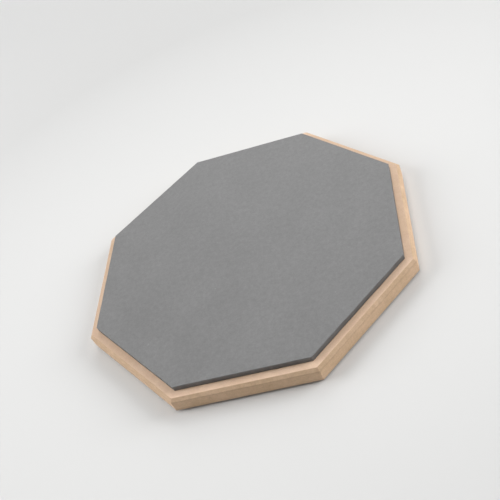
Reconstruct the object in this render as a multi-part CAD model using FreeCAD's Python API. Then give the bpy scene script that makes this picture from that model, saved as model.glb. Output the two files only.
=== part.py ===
import FreeCAD, Part

import math
import os

# An octagonal drum practice pad, in millimetres. It lies on the plane Z = 0 with +Z up, and the origin is
# under its centre. The sides of every octagon face along X, along Y and half-way between, so one side faces
# -Y, where the player stands.

# Driving dimensions
BOARD_ACROSS_FLATS = 304.8  # a 12 inch pad
BOARD_THICKNESS = 14.5
BOARD_TOP_CHAMFER = 2.5  # at 45 degrees, round the whole top edge
BOARD_BOTTOM_CHAMFER = 0.5  # the lower edge is only broken with sandpaper
LEDGE_WIDTH = 9.2  # from the rubber's edge out to the board's side
RUBBER_THICKNESS = 5.2
RUBBER_GLUE_THICKNESS = 0.2
GRIP_SHEET_INSET = 12.4  # from the board's side in to the grip sheet's edge
GRIP_SHEET_THICKNESS = 2.0
GRIP_GLUE_THICKNESS = 0.15
GLUE_INSET = 1.0  # a film of glue stops this far inside the edge of the sheet that it holds
SIDES = 8

# Heights of the layers, from the table up
GRIP_SHEET_TOP = GRIP_SHEET_THICKNESS
BOARD_BOTTOM = GRIP_SHEET_TOP + GRIP_GLUE_THICKNESS
BOARD_TOP = BOARD_BOTTOM + BOARD_THICKNESS
RUBBER_BOTTOM = BOARD_TOP + RUBBER_GLUE_THICKNESS

# Widths of the sheets, across the flats
RUBBER_ACROSS_FLATS = BOARD_ACROSS_FLATS - 2 * LEDGE_WIDTH
GRIP_SHEET_ACROSS_FLATS = BOARD_ACROSS_FLATS - 2 * GRIP_SHEET_INSET

STEP_FOLDER = "parts"


def octagon_outline(across_flats, height):
    """The closed outline of a regular octagon that lies flat at that height."""
    half_side_angle = math.pi / SIDES
    corner_distance = across_flats / 2 / math.cos(half_side_angle)
    corners = []
    for corner in range(SIDES + 1):
        angle = (2 * corner + 1) * half_side_angle
        x = corner_distance * math.cos(angle)
        y = corner_distance * math.sin(angle)
        corners.append(FreeCAD.Vector(x, y, height))
    return Part.makePolygon(corners)


def octagon_sheet(across_flats, bottom, thickness):
    """A flat octagonal sheet, cut square at its edge."""
    face = Part.Face(octagon_outline(across_flats, bottom))
    return face.extrude(FreeCAD.Vector(0, 0, thickness))


def edges_at_height(solid, height):
    """The straight edges that run round a solid at that height."""
    tolerance = Part.Vertex(0, 0, 0).Tolerance
    level = []
    for edge in solid.Edges:
        if all(abs(vertex.Z - height) <= tolerance for vertex in edge.Vertexes):
            level.append(edge)
    return level


def base_board():
    """The fibreboard slab, chamfered round its top edge and just broken round its lower one."""
    slab = octagon_sheet(BOARD_ACROSS_FLATS, BOARD_BOTTOM, BOARD_THICKNESS)
    slab = slab.makeChamfer(BOARD_TOP_CHAMFER, edges_at_height(slab, BOARD_TOP))
    slab = slab.makeChamfer(BOARD_BOTTOM_CHAMFER, edges_at_height(slab, BOARD_BOTTOM))
    return slab.Solids[0]


def playing_surface():
    """The sheet of gum rubber that the sticks strike."""
    return octagon_sheet(RUBBER_ACROSS_FLATS, RUBBER_BOTTOM, RUBBER_THICKNESS)


def playing_surface_adhesive():
    """The film of glue between the rubber and the board."""
    return octagon_sheet(RUBBER_ACROSS_FLATS - 2 * GLUE_INSET, BOARD_TOP, RUBBER_GLUE_THICKNESS)


def grip_sheet():
    """The thin rubber sheet under the board that keeps the pad from sliding. The pad stands on it."""
    return octagon_sheet(GRIP_SHEET_ACROSS_FLATS, 0, GRIP_SHEET_THICKNESS)


def grip_sheet_adhesive():
    """The film of glue between the grip sheet and the board."""
    return octagon_sheet(GRIP_SHEET_ACROSS_FLATS - 2 * GLUE_INSET, GRIP_SHEET_TOP, GRIP_GLUE_THICKNESS)


def main():
    """Writes one STEP file for each sub-part."""
    os.makedirs(STEP_FOLDER, exist_ok=True)
    for sub_part in (
        grip_sheet,
        grip_sheet_adhesive,
        base_board,
        playing_surface_adhesive,
        playing_surface,
    ):
        shape = sub_part()
        if not shape.isValid():
            raise ValueError(sub_part.__name__ + " isn't a valid solid")
        shape.exportStep(os.path.join(STEP_FOLDER, sub_part.__name__ + ".step"))
        box = shape.BoundBox
        print(sub_part.__name__, shape.ShapeType, round(shape.Volume), "mm3", box)


main()
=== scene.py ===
import math

import bmesh
import bpy
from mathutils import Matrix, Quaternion, Vector, noise


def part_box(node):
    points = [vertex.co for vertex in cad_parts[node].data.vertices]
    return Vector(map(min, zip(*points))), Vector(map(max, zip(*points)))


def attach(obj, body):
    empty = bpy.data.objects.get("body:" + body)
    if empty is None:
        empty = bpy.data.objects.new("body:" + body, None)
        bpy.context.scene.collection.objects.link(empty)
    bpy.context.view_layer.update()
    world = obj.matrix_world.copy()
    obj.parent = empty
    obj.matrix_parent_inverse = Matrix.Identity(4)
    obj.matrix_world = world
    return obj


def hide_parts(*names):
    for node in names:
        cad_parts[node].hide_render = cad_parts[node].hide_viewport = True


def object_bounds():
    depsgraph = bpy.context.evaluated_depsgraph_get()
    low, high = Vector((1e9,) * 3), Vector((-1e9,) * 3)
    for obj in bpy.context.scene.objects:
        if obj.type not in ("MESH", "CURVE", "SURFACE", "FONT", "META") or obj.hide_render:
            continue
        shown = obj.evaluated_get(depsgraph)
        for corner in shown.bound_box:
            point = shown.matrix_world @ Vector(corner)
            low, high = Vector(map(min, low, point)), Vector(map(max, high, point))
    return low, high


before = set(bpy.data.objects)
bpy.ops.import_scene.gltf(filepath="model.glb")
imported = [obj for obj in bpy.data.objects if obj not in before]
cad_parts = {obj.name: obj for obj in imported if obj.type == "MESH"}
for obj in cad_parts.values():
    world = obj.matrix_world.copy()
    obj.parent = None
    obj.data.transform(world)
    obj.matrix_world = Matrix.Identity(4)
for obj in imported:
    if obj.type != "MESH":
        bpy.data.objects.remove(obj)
cad_low, cad_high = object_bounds()

# The looks of an octagonal practice pad: a raw fibreboard slab, a grey gum rubber sheet glued on it and a
# thin black grip sheet under it. Lengths are in metres, in the row's own frame.

MM = 0.001
SIDES = 8
SIDE_ANGLE = 2 * math.pi / SIDES
SIDE_STEPS = 30  # stretches along each straight side; even, because each side is halved
CORNER_STEPS = 4  # stretches round each corner
SHARPEST = 0.12 * MM  # the least radius that the corner of an outline keeps
FACE_RIM = 1.5 * MM  # from a face's edge in to the even grid that fills it
WAVER_LENGTH = 22 * MM  # how far apart the unevennesses of a cut edge are
WELD = 0.0005 * MM  # points nearer to each other than this are one
RUN = "edge_run"  # a UV layer: the way round an edge, and the height


# ---- Shapes ----------------------------------------------------------------------------------------------


def around(angle, distance):
    """The point at that distance from the middle, in that direction."""
    return distance * Vector((math.cos(angle), math.sin(angle)))


def octagon_corner(corner, half_width):
    """The sharp corner after the side that faces corner * SIDE_ANGLE."""
    return around((corner + 0.5) * SIDE_ANGLE, half_width / math.cos(SIDE_ANGLE / 2))


def rounded_octagon(half_width, corner_radius):
    """Points round an octagon with rounded corners, the same number at any size."""
    points = []
    for corner in range(SIDES):
        centre = octagon_corner(corner, half_width - corner_radius)
        next_centre = octagon_corner(corner + 1, half_width - corner_radius)
        for step in range(CORNER_STEPS):
            points.append(centre + around((corner + step / CORNER_STEPS) * SIDE_ANGLE, corner_radius))
        out = around((corner + 1) * SIDE_ANGLE, corner_radius)
        for step in range(SIDE_STEPS):
            points.append((centre + out).lerp(next_centre + out, step / SIDE_STEPS))
    return points


def eased(profile, steps=3):
    """The (inset, height) points of a profile whose (inset, height, radius) corners turn into arcs."""
    path = [Vector(corner[:2]) for corner in profile]
    result = [path[0]]
    for before, corner, after, (_, _, radius) in zip(path, path[1:], path[2:], profile[1:]):
        if radius == 0:
            result.append(corner)
            continue
        back = (before - corner).normalized()
        on = (after - corner).normalized()
        half_opening = back.angle(on) / 2
        centre = corner + (back + on).normalized() * radius / math.sin(half_opening)
        first = corner + back * radius / math.tan(half_opening) - centre
        last = corner + on * radius / math.tan(half_opening) - centre
        for step in range(steps + 1):
            result.append(centre + first.lerp(last, step / steps).normalized() * radius)
    result.append(path[-1])
    return result


def edge_ring(mesh, half_width, height, corner_radius, waver, seed):
    """One ring of points round an edge.

    Waver is how far it strays from true, from place to place, and each seed strays in its own way.
    """
    ring = []
    for x, y in rounded_octagon(half_width, corner_radius):
        place = Vector((x, y, height)) / WAVER_LENGTH
        grown = 1 + waver * noise.noise(place + Vector((seed, seed, seed))) / half_width
        ring.append(mesh.verts.new((x * grown, y * grown, height)))
    return ring


def edge_band(mesh, run_layer, lower, upper, material):
    """The faces between two rings of an edge."""
    travelled = 0
    for i, start in enumerate(lower):
        j = (i + 1) % len(lower)
        face = mesh.faces.new((start, lower[j], upper[j], upper[i]))
        face.material_index = material
        further = travelled + (lower[j].co - start.co).length
        for loop, run in zip(face.loops, (travelled, further, further, travelled)):
            loop[run_layer].uv = (run, loop.vert.co.z)
        travelled = further


def octagon_grid(mesh, half_width, height):
    """A flat octagon of four-sided faces: a patch to each corner, and all the patches meet in the middle."""
    half_steps = SIDE_STEPS // 2
    for corner in range(SIDES):
        before = around(corner * SIDE_ANGLE, half_width)
        tip = octagon_corner(corner, half_width)
        after = around((corner + 1) * SIDE_ANGLE, half_width)
        rows = []
        for i in range(half_steps + 1):
            u = i / half_steps
            row = []
            for j in range(half_steps + 1):
                v = j / half_steps
                place = u * (1 - v) * before + u * v * tip + (1 - u) * v * after
                row.append(mesh.verts.new((place.x, place.y, height)))
            rows.append(row)
        for one, two in zip(rows, rows[1:]):
            for j in range(half_steps):
                mesh.faces.new((one[j], two[j], two[j + 1], one[j + 1]))


def close_face(mesh, ring, half_width, height):
    """Closes a ring with a narrow flat rim and an even grid inside it."""
    inner_width = half_width - FACE_RIM
    rim = []
    for corner in range(SIDES):
        tip = octagon_corner(corner, inner_width)
        next_tip = octagon_corner(corner + 1, inner_width)
        for step in range(SIDE_STEPS):
            x, y = tip.lerp(next_tip, step / SIDE_STEPS)
            point = mesh.verts.new((x, y, height))
            # All the points of a rounded corner meet the rim's one sharp corner.
            rim.extend([point] * (CORNER_STEPS + 1 if step == 0 else 1))
    for i, start in enumerate(ring):
        j = (i + 1) % len(ring)
        corners = [start, ring[j], rim[j], rim[i]]
        mesh.faces.new(corners[:3] if rim[i] is rim[j] else corners)
    octagon_grid(mesh, inner_width, height)


def add_object(name, mesh, materials):
    """A new object in the scene, made from a mesh, which is freed, and its materials."""
    data = bpy.data.meshes.new(name)
    mesh.to_mesh(data)
    mesh.free()
    for material in materials:
        data.materials.append(material)
    added = bpy.data.objects.new(name, data)
    bpy.context.scene.collection.objects.link(added)
    return added


def octagonal_sheet(name, cad_node, profile, corner_radius, waver, seed, materials):
    """A closed octagonal sheet that stands for a CAD node and has its size.

    The profile is a list of (inset, height above the node's underside). It starts a little way in on the
    lower face, runs up the edge and ends a little way in on the upper one. The level faces get the first
    material and the edge gets the second. Waver and seed are edge_ring's.
    """
    low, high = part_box(cad_node)
    half_width = (high.x - low.x) / 2
    mesh = bmesh.new()
    run_layer = mesh.loops.layers.uv.new(RUN)
    rings = []
    for inset, height in profile:
        corner = max(corner_radius - inset, SHARPEST)
        rings.append(edge_ring(mesh, half_width - inset, low.z + height, corner, waver, seed))
    for lower, upper, below, above in zip(rings, rings[1:], profile, profile[1:]):
        is_level = math.isclose(below[1], above[1], abs_tol=WELD)
        edge_band(mesh, run_layer, lower, upper, 0 if is_level else 1)
    for ring, (inset, height) in ((rings[0], profile[0]), (rings[-1], profile[-1])):
        close_face(mesh, ring, half_width - inset, low.z + height)
    bmesh.ops.remove_doubles(mesh, verts=mesh.verts, dist=WELD)
    bmesh.ops.recalc_face_normals(mesh, faces=mesh.faces)
    for face in mesh.faces:
        face.smooth = True
    sheet = add_object(name, mesh, materials)
    # The faces are flat and only the narrow arcs between them are shaded round.
    shading = sheet.modifiers.new("flat_faces", "WEIGHTED_NORMAL")
    shading.weight = 100
    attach(sheet, "root")
    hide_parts(cad_node)
    return sheet


# ---- Materials -------------------------------------------------------------------------------------------


def srgb(red, green, blue):
    """A shader colour from the 0 to 255 values that a screen shows."""

    def linear(value):
        value /= 255
        return value / 12.92 if value <= 0.04045 else ((value + 0.055) / 1.055) ** 2.4

    return (linear(red), linear(green), linear(blue), 1)


class Look:
    """A material whose Principled shader is fed by a few kinds of pattern node."""

    def __init__(self, name):
        self.material = bpy.data.materials.new(name)
        self.material.use_nodes = True
        self.tree = self.material.node_tree
        self.tree.nodes.clear()
        self.shader = self.node("ShaderNodeBsdfPrincipled")
        output = self.node("ShaderNodeOutputMaterial")
        self.tree.links.new(self.shader.outputs["BSDF"], output.inputs["Surface"])
        self.place = self.node("ShaderNodeTexCoord").outputs["Object"]

    def node(self, kind, inputs=None, **settings):
        """A new node with those settings. Its inputs are numbers, colours or other nodes' outputs."""
        made = self.tree.nodes.new(kind)
        for name, value in settings.items():
            setattr(made, name, value)
        for name, value in (inputs or {}).items():
            self.feed(made.inputs[name], value)
        return made

    def feed(self, socket, value):
        """Joins another node's output to the socket, or sets the socket to a value."""
        if isinstance(value, bpy.types.NodeSocket):
            self.tree.links.new(value, socket)
        else:
            socket.default_value = value

    def set(self, **sockets):
        """Feeds the shader's sockets: Base_Color is its Base Color."""
        for name, value in sockets.items():
            self.feed(self.shader.inputs[name.replace("_", " ")], value)

    def noise(self, size, place=None, detail=2.0, roughness=0.5, distortion=0.0):
        """Soft noise from 0 to 1, with patches about that size."""
        inputs = {
            "Vector": place or self.place,
            "Scale": 1 / size,
            "Detail": detail,
            "Roughness": roughness,
            "Distortion": distortion,
        }
        return self.node("ShaderNodeTexNoise", inputs).outputs["Fac"]

    def math(self, operation, first, second=0.0):
        """What that operation makes of one or two numbers."""
        return self.node("ShaderNodeMath", {0: first, 1: second}, operation=operation).outputs[0]

    def span(self, value, low, high, to_low=0.0, to_high=1.0):
        """The value taken from the range low to high to another range, and cut off at its ends."""
        inputs = {"Value": value, "From Min": low, "From Max": high, "To Min": to_low, "To Max": to_high}
        return self.node("ShaderNodeMapRange", inputs).outputs["Result"]

    def spread(self, pattern, low, high):
        """Soft noise, which seldom leaves 0.3 to 0.7, spread over the range low to high."""
        return self.span(pattern, 0.3, 0.7, low, high)

    def mix(self, share, first, second):
        """The first colour where share is 0 and the second where it is 1."""
        mixer = self.node("ShaderNodeMix", data_type="RGBA")
        self.feed(mixer.inputs["Factor"], share)
        self.feed(mixer.inputs[6], first)
        self.feed(mixer.inputs[7], second)
        return mixer.outputs[2]

    def shade(self, colour, factor):
        """The colour made lighter or darker by a factor that varies from place to place."""
        scaled = self.node("ShaderNodeVectorMath", {0: colour, "Scale": factor}, operation="SCALE")
        return scaled.outputs["Vector"]

    def vary(self, colour, pattern, low, high):
        """The colour shaded by a factor from low to high, as a pattern of soft noise goes."""
        return self.shade(colour, self.spread(pattern, low, high))

    def tint(self, colour, pattern, share, tone):
        """The colour with that share of another tone where the pattern is 1."""
        return self.mix(self.math("MULTIPLY", pattern, share), colour, tone)

    def hairs(self, size, thinness):
        """Fine curling threads, where soft noise is near its middle: 1 on a thread and 0 between them."""
        field = self.noise(size, detail=1.0, distortion=1.6)
        off = self.math("ABSOLUTE", self.math("SUBTRACT", field, 0.5))
        return self.span(off, 0.0, thinness, 1.0, 0.0)

    def specks(self, spacing, radius, share):
        """Small uneven dots, one at most to each cell of about that spacing, in that share of the cells."""
        cells = self.node("ShaderNodeTexVoronoi", {"Vector": self.place, "Scale": 1 / spacing})
        reach = radius / spacing
        ragged = self.math("MULTIPLY", self.noise(radius), 0.5 * reach)
        off = self.math("SUBTRACT", cells.outputs["Distance"], ragged)
        dot = self.span(off, 0.0, reach, 1.0, 0.0)
        lot = self.node("ShaderNodeSeparateColor", {0: cells.outputs["Color"]}).outputs[0]
        return self.math("MULTIPLY", dot, self.math("LESS_THAN", lot, share))

    def streaks(self, length, height, detail=2.0, roughness=0.5):
        """Soft noise from 0 to 1 on a cut edge, drawn out to about that length and height."""
        uv = self.node("ShaderNodeUVMap", uv_map=RUN).outputs["UV"]
        run = self.node("ShaderNodeSeparateXYZ", {0: uv})
        inputs = {
            "X": self.math("DIVIDE", run.outputs["X"], length),
            "Y": self.math("DIVIDE", run.outputs["Y"], height),
        }
        drawn_out = self.node("ShaderNodeCombineXYZ", inputs).outputs["Vector"]
        return self.noise(1.0, drawn_out, detail, roughness)

    def height(self):
        """How high each place is, in metres."""
        return self.node("ShaderNodeSeparateXYZ", {0: self.place}).outputs["Z"]

    def bump(self, height, depth, under=None):
        """Relief of that depth from a height of 0 to 1, on top of other relief."""
        inputs = {"Height": height, "Distance": depth, "Strength": 1.0}
        if under:
            inputs["Normal"] = under
        return self.node("ShaderNodeBump", inputs).outputs["Normal"]


def fibreboard_face():
    """The board's pressed faces: fine matted fibres, soft clouds of tone and a few bark specks."""
    look = Look("fibreboard_face")
    clouds = look.noise(26 * MM, detail=3.0)
    blotches = look.noise(6 * MM, detail=3.0)
    grain = look.noise(0.7 * MM, detail=4.0, roughness=0.65)
    fibres = look.hairs(size=2.6 * MM, thinness=0.035)
    specks = look.specks(spacing=5 * MM, radius=0.35 * MM, share=0.3)
    tan = srgb(205, 176, 149)
    pale_tan = srgb(213, 185, 160)
    pink_tan = srgb(212, 176, 153)
    brown = srgb(150, 118, 90)
    bark = srgb(112, 80, 58)
    colour = look.mix(look.span(clouds, 0.35, 0.65), tan, pale_tan)
    colour = look.mix(look.span(blotches, 0.4, 0.7, 0.0, 0.35), colour, pink_tan)
    colour = look.vary(colour, blotches, 1.03, 0.96)
    colour = look.vary(colour, grain, 0.92, 1.07)
    colour = look.tint(colour, fibres, 0.16, brown)
    colour = look.tint(colour, specks, 0.55, bark)
    relief = look.bump(grain, 0.03 * MM)
    relief = look.bump(fibres, 0.015 * MM, relief)
    look.set(Base_Color=colour, Roughness=look.spread(grain, 0.72, 0.9), Normal=relief)
    return look.material


def fibreboard_edge(bottom, top):
    """The board's machined edge, from bottom to top: coarser fibres in layers, darker at both faces."""
    look = Look("fibreboard_edge")
    clouds = look.noise(18 * MM, detail=3.0)
    blotches = look.noise(4 * MM, detail=3.0, roughness=0.6)
    layers = look.streaks(5 * MM, 0.45 * MM, detail=3.0, roughness=0.6)
    cutter_marks = look.streaks(1.1 * MM, 60 * MM, detail=1.0)
    grain = look.noise(0.5 * MM, detail=4.0, roughness=0.7)
    fibres = look.hairs(size=1.9 * MM, thinness=0.05)
    specks = look.specks(spacing=4 * MM, radius=0.35 * MM, share=0.35)
    across = look.span(look.height(), bottom, top)
    tan = srgb(199, 169, 137)
    pale_tan = srgb(209, 178, 148)
    brown = srgb(140, 107, 79)
    bark = srgb(105, 74, 52)
    colour = look.mix(look.span(clouds, 0.35, 0.65), tan, pale_tan)
    colour = look.vary(colour, blotches, 0.94, 1.06)
    colour = look.vary(colour, layers, 0.93, 1.06)
    colour = look.vary(colour, grain, 0.9, 1.08)
    colour = look.vary(colour, cutter_marks, 0.98, 1.02)
    colour = look.shade(colour, look.span(across, 0.13, 0.23, 0.94, 1.02))
    colour = look.shade(colour, look.span(across, 0.7, 0.8, 1.0, 0.85))
    colour = look.tint(colour, fibres, 0.2, brown)
    colour = look.tint(colour, specks, 0.6, bark)
    relief = look.bump(grain, 0.07 * MM)
    relief = look.bump(layers, 0.06 * MM, relief)
    relief = look.bump(cutter_marks, 0.02 * MM, relief)
    look.set(Base_Color=colour, Roughness=look.spread(grain, 0.7, 0.88), Normal=relief)
    return look.material


def rubber_skin():
    """The struck face of the gum rubber: dull, faintly mottled and very finely toothed, a little dusty."""
    look = Look("gum_rubber_skin")
    clouds = look.noise(34 * MM, detail=4.0, roughness=0.55)
    patches = look.noise(9 * MM, detail=2.0)
    mottle = look.noise(4.5 * MM, detail=3.0, roughness=0.6)
    crumb = look.noise(1.5 * MM, detail=2.0, roughness=0.6)
    tooth = look.noise(0.45 * MM, detail=3.0, roughness=0.6)
    dust = look.specks(spacing=15 * MM, radius=0.6 * MM, share=0.5)
    grey = srgb(105, 105, 105)
    pale_grey = srgb(111, 111, 111)
    dust_grey = srgb(165, 165, 163)
    colour = look.mix(look.spread(clouds, 0.0, 1.0), grey, pale_grey)
    colour = look.vary(colour, mottle, 0.92, 1.08)
    colour = look.vary(colour, crumb, 0.93, 1.07)
    colour = look.vary(colour, tooth, 0.9, 1.1)
    colour = look.tint(colour, dust, 0.3, dust_grey)
    wear = look.math("ADD", look.math("MULTIPLY", clouds, 0.7), look.math("MULTIPLY", patches, 0.3))
    relief = look.bump(crumb, 0.03 * MM)
    relief = look.bump(tooth, 0.03 * MM, relief)
    look.set(Base_Color=colour, Roughness=look.spread(wear, 0.54, 0.64), Normal=relief)
    look.set(Sheen_Weight=0.25, Sheen_Roughness=0.4)
    return look.material


def rubber_cut(bottom, top):
    """The cut side of the gum rubber, from bottom to top: dark, with a blade's drag lines. Painted shade
    darkens it towards its foot and painted light lightens it towards its top edge.
    """
    look = Look("gum_rubber_cut")
    clouds = look.noise(14 * MM, detail=2.0)
    drag = look.streaks(12 * MM, 0.3 * MM, detail=3.0, roughness=0.6)
    grain = look.noise(0.4 * MM, detail=3.0, roughness=0.65)
    grey = srgb(94, 94, 95)
    pale_grey = srgb(105, 106, 107)
    colour = look.mix(look.span(clouds, 0.35, 0.65), grey, pale_grey)
    colour = look.vary(colour, drag, 0.88, 1.12)
    colour = look.vary(colour, grain, 0.92, 1.08)
    # Painted shade and light: a factor from 0.82 at the foot, by the ledge, to 1.1 at the top edge.
    colour = look.shade(colour, look.span(look.height(), bottom, top, 0.82, 1.1))
    relief = look.bump(drag, 0.05 * MM)
    relief = look.bump(grain, 0.03 * MM, relief)
    look.set(Base_Color=colour, Roughness=look.spread(drag, 0.45, 0.6), Normal=relief)
    return look.material


def grip_skin():
    """The grip sheet's faces: black rubber pressed with a fine pebble, a little dusty."""
    look = Look("grip_rubber_skin")
    spacing = 1.5 * MM
    inputs = {"Vector": look.place, "Scale": 1 / spacing}
    cells = look.node("ShaderNodeTexVoronoi", inputs, feature="SMOOTH_F1")
    pebble = look.span(cells.outputs["Distance"], 0.0, 0.6, 1.0, 0.0)
    dust = look.noise(30 * MM, detail=5.0, roughness=0.6)
    grain = look.noise(0.4 * MM, detail=2.0)
    black = srgb(30, 30, 31)
    dusty_black = srgb(42, 41, 40)
    colour = look.mix(look.span(dust, 0.4, 0.7), black, dusty_black)
    # Painted shade in the pebble's hollows and painted light on its tops, following the relief.
    colour = look.shade(colour, look.span(pebble, 0.0, 1.0, 0.75, 1.15))
    relief = look.bump(pebble, 0.18 * MM)
    relief = look.bump(grain, 0.02 * MM, relief)
    look.set(Base_Color=colour, Roughness=look.spread(dust, 0.6, 0.78), Normal=relief)
    return look.material


def grip_cut():
    """The cut side of the grip sheet: plain black with a few drag lines."""
    look = Look("grip_rubber_cut")
    drag = look.streaks(9 * MM, 0.25 * MM, detail=2.0)
    black = srgb(28, 28, 28)
    worn_black = srgb(44, 44, 44)
    colour = look.mix(look.spread(drag, 0.0, 1.0), black, worn_black)
    relief = look.bump(drag, 0.04 * MM)
    look.set(Base_Color=colour, Roughness=look.spread(drag, 0.75, 0.9), Normal=relief)
    return look.material


def dried_glue(name, thin, thick):
    """A film of dried glue: thin and thick patches, with small bubbles."""
    look = Look(name)
    patches = look.noise(6 * MM, detail=3.0, distortion=0.6)
    bubbles = look.specks(spacing=1.6 * MM, radius=0.35 * MM, share=0.5)
    colour = look.mix(look.span(patches, 0.35, 0.65), thin, thick)
    colour = look.shade(colour, look.span(bubbles, 0.0, 1.0, 1.0, 1.25))
    relief = look.bump(patches, 0.05 * MM)
    relief = look.bump(bubbles, 0.04 * MM, relief)
    look.set(Base_Color=colour, Roughness=look.spread(patches, 0.3, 0.5), Normal=relief)
    return look.material


# ---- Pieces ----------------------------------------------------------------------------------------------


def heights(cad_node):
    """The heights of a CAD node's lower and upper faces."""
    low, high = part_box(cad_node)
    return low.z, high.z


def base_board():
    """The fibreboard slab: a chamfer above, a broken edge below, and ridges that sanding has eased."""
    top_chamfer = 2.5 * MM  # at 45 degrees, as the lower one is
    bottom_chamfer = 0.5 * MM
    flat = 4 * MM
    ridge = 0.25 * MM
    bottom, top = heights("base_board")
    thickness = top - bottom
    profile = [
        (bottom_chamfer + flat, 0, 0),
        (bottom_chamfer, 0, ridge),
        (0, bottom_chamfer, ridge),
        (0, thickness - top_chamfer, ridge),
        (top_chamfer, thickness, ridge),
        (top_chamfer + flat, thickness, 0),
    ]
    board = octagonal_sheet(
        "base_board_visual",
        "base_board",
        eased(profile),
        corner_radius=0.8 * MM,
        waver=0.05 * MM,
        seed=1,
        materials=[fibreboard_face(), fibreboard_edge(bottom, top)],
    )


def playing_surface():
    """The gum rubber sheet: a blade left its side a little hollow and its upper edge a little round."""
    flat = 3 * MM
    hollow = 0.15 * MM
    rounding = 0.3 * MM
    steps = 6
    bottom, top = heights("playing_surface")
    thickness = top - bottom
    profile = [(flat, 0, 0), (0, 0, 0)]
    for step in range(1, steps):
        rise = step / steps
        profile.append((hollow * math.sin(math.pi * rise), thickness * rise, 0))
    profile += [(0, thickness, rounding), (flat, thickness, 0)]
    rubber = octagonal_sheet(
        "playing_surface_visual",
        "playing_surface",
        eased(profile),
        corner_radius=0.6 * MM,
        waver=0.12 * MM,
        seed=2,
        materials=[rubber_skin(), rubber_cut(bottom, top)],
    )


def grip_sheet():
    """The thin black rubber sheet that the pad stands on."""
    flat = 3 * MM
    rounding = 0.2 * MM
    bottom, top = heights("grip_sheet")
    thickness = top - bottom
    profile = [(flat, 0, 0), (0, 0, rounding), (0, thickness, rounding), (flat, thickness, 0)]
    grip = octagonal_sheet(
        "grip_sheet_visual",
        "grip_sheet",
        eased(profile),
        corner_radius=1.0 * MM,
        waver=0.2 * MM,
        seed=3,
        materials=[grip_skin(), grip_cut()],
    )


def glue_film(cad_node, slot, seed, thin, thick):
    """A film of glue, whose edge runs in and out where it was spread. Thin and thick are its colours."""
    flat = 3 * MM
    bottom, top = heights(cad_node)
    thickness = top - bottom
    profile = [(flat, 0), (0, 0), (0, thickness), (flat, thickness)]
    material = dried_glue(slot, thin, thick)
    film = octagonal_sheet(
        cad_node + "_visual",
        cad_node,
        profile,
        corner_radius=1.5 * MM,
        waver=0.8 * MM,
        seed=seed,
        materials=[material, material],
    )


base_board()
playing_surface()
grip_sheet()
glue_film("playing_surface_adhesive", "contact_glue", 4, thin=srgb(150, 118, 70), thick=srgb(108, 80, 44))
glue_film("grip_sheet_adhesive", "grip_glue", 5, thin=srgb(196, 190, 170), thick=srgb(170, 162, 138))


# ---- Floor, light and camera -----------------------------------------------------------------------------


def bowl_profile(floor_radius, sweep, wall_top, steps):
    """The (radius, height) points of a flat floor that curves up, with the radius sweep, into a wall."""
    profile = [(floor_radius, 0)]
    for step in range(1, steps + 1):
        rise = math.radians(90) * step / steps
        profile.append((floor_radius + sweep * math.sin(rise), sweep * (1 - math.cos(rise))))
    profile.append((floor_radius + sweep, wall_top))
    return profile


def turned_bowl(profile, segments):
    """The mesh of a bowl with that profile and a flat bottom."""
    mesh = bmesh.new()
    rings = []
    for radius, height in profile:
        ring = []
        for step in range(segments):
            x, y = around(2 * math.pi * step / segments, radius)
            ring.append(mesh.verts.new((x, y, height)))
        rings.append(ring)
    mesh.faces.new(rings[0])
    for lower, upper in zip(rings, rings[1:]):
        for i in range(segments):
            j = (i + 1) % segments
            mesh.faces.new((lower[i], lower[j], upper[j], upper[i])).smooth = True
    return mesh


def stage_paint(floor_radius, sweep, glow, fill):
    """Pale paint. Towards the wall it glows, painted light that lights the pad.

    The lights leave the far floor dim, so beyond them it is shown paler by fill, painted light that only the
    camera sees and that lights nothing.
    """
    look = Look("studio")
    level = {0: look.place, 1: (1, 1, 0)}
    out = look.node("ShaderNodeVectorMath", level, operation="MULTIPLY").outputs["Vector"]
    radius = look.node("ShaderNodeVectorMath", {0: out}, operation="LENGTH").outputs["Value"]
    lighting = look.span(radius, 0.5 * floor_radius, floor_radius + 0.5 * sweep, 0.0, glow)
    showing = look.span(radius, 0.2 * floor_radius, 0.6 * floor_radius, 0.0, fill)
    seen = look.node("ShaderNodeLightPath").outputs["Is Camera Ray"]
    look.set(Base_Color=(0.62, 0.62, 0.615, 1), Roughness=0.8)
    # The emission is painted light: the glow lights the pad, and the fill only brightens the far floor for
    # the camera.
    look.set(Emission_Color=(1, 1, 1, 1), Emission_Strength=look.span(seen, 0.0, 1.0, lighting, showing))
    return look.material


def studio(glow, fill):
    """A plain pale floor that curves up into a low wall all round."""
    floor_radius = 2.4
    sweep = 0.9
    profile = bowl_profile(floor_radius, sweep, wall_top=2.7, steps=16)
    paint = stage_paint(floor_radius, sweep, glow, fill)
    surface = add_object("studio", turned_bowl(profile, segments=96), [paint])
    surface.location.z = cad_low.z


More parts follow.
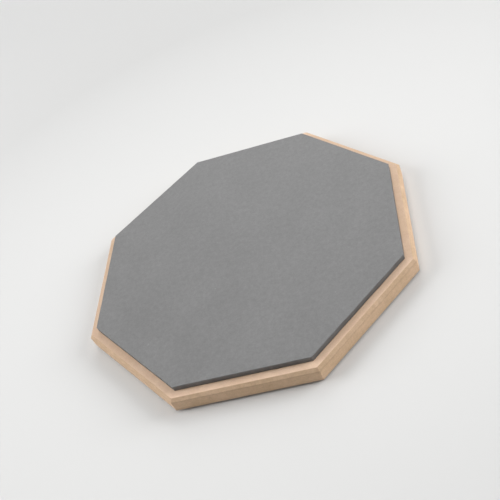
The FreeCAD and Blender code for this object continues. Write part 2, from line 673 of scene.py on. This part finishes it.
def direction(azimuth, elevation):
    """The way out from the pad at those angles, in degrees. Azimuth 0 is at -Y, in front, and 90 is at +X."""
    turn = math.radians(azimuth)
    rise = math.radians(elevation)
    return Vector((math.sin(turn) * math.cos(rise), -math.cos(turn) * math.cos(rise), math.sin(rise)))


def softbox(name, azimuth, elevation, distance, width, power):
    """A square soft light that faces the pad."""
    out = direction(azimuth, elevation)
    light = bpy.data.lights.new(name, "AREA")
    light.shape = "SQUARE"
    light.size = width
    light.spread = math.radians(70)  # a grid keeps it off the floor nearby
    light.energy = power
    lamp = bpy.data.objects.new(name, light)
    lamp.location = out * distance
    lamp.rotation_euler = (-out).to_track_quat("-Z", "Y").to_euler()
    bpy.context.scene.collection.objects.link(lamp)


def surroundings(brightness):
    """An even pale light from all round."""
    world = bpy.data.worlds.new("studio")
    world.use_nodes = True
    background = world.node_tree.nodes["Background"]
    background.inputs["Color"].default_value = (1, 1, 1, 1)
    background.inputs["Strength"].default_value = brightness
    bpy.context.scene.world = world


def camera():
    """The camera, which looks down on a corner of the pad and is rolled, so that the pad seems to tip."""
    out = direction(azimuth=15.61, elevation=41.75)
    distance = 0.7136
    roll = math.radians(-24.78)
    aim = Vector((0.0538, 0.0070, cad_high.z))
    data = bpy.data.cameras.new("camera")
    data.lens = 55.79
    data.sensor_width = 36
    data.shift_x = -0.10
    data.shift_y = -0.05
    view = bpy.data.objects.new("camera", data)
    view.location = aim + out * distance
    upright = (-out).to_track_quat("-Z", "Y")
    view.rotation_euler = (upright @ Quaternion((0, 0, 1), roll)).to_euler()
    bpy.context.scene.collection.objects.link(view)
    bpy.context.scene.camera = view


studio(glow=0.22, fill=0.6)
surroundings(brightness=0.03)
softbox("right_softbox", azimuth=104, elevation=26, distance=1.8, width=1.2, power=5.9)
softbox("left_softbox", azimuth=-90, elevation=30, distance=1.8, width=1.2, power=5.1)
softbox("overhead_softbox", azimuth=0, elevation=85, distance=1.6, width=1.0, power=1.5)
softbox("back_softbox", azimuth=180, elevation=35, distance=1.8, width=1.6, power=3.8)
camera()
bpy.context.scene.view_settings.view_transform = "Standard"
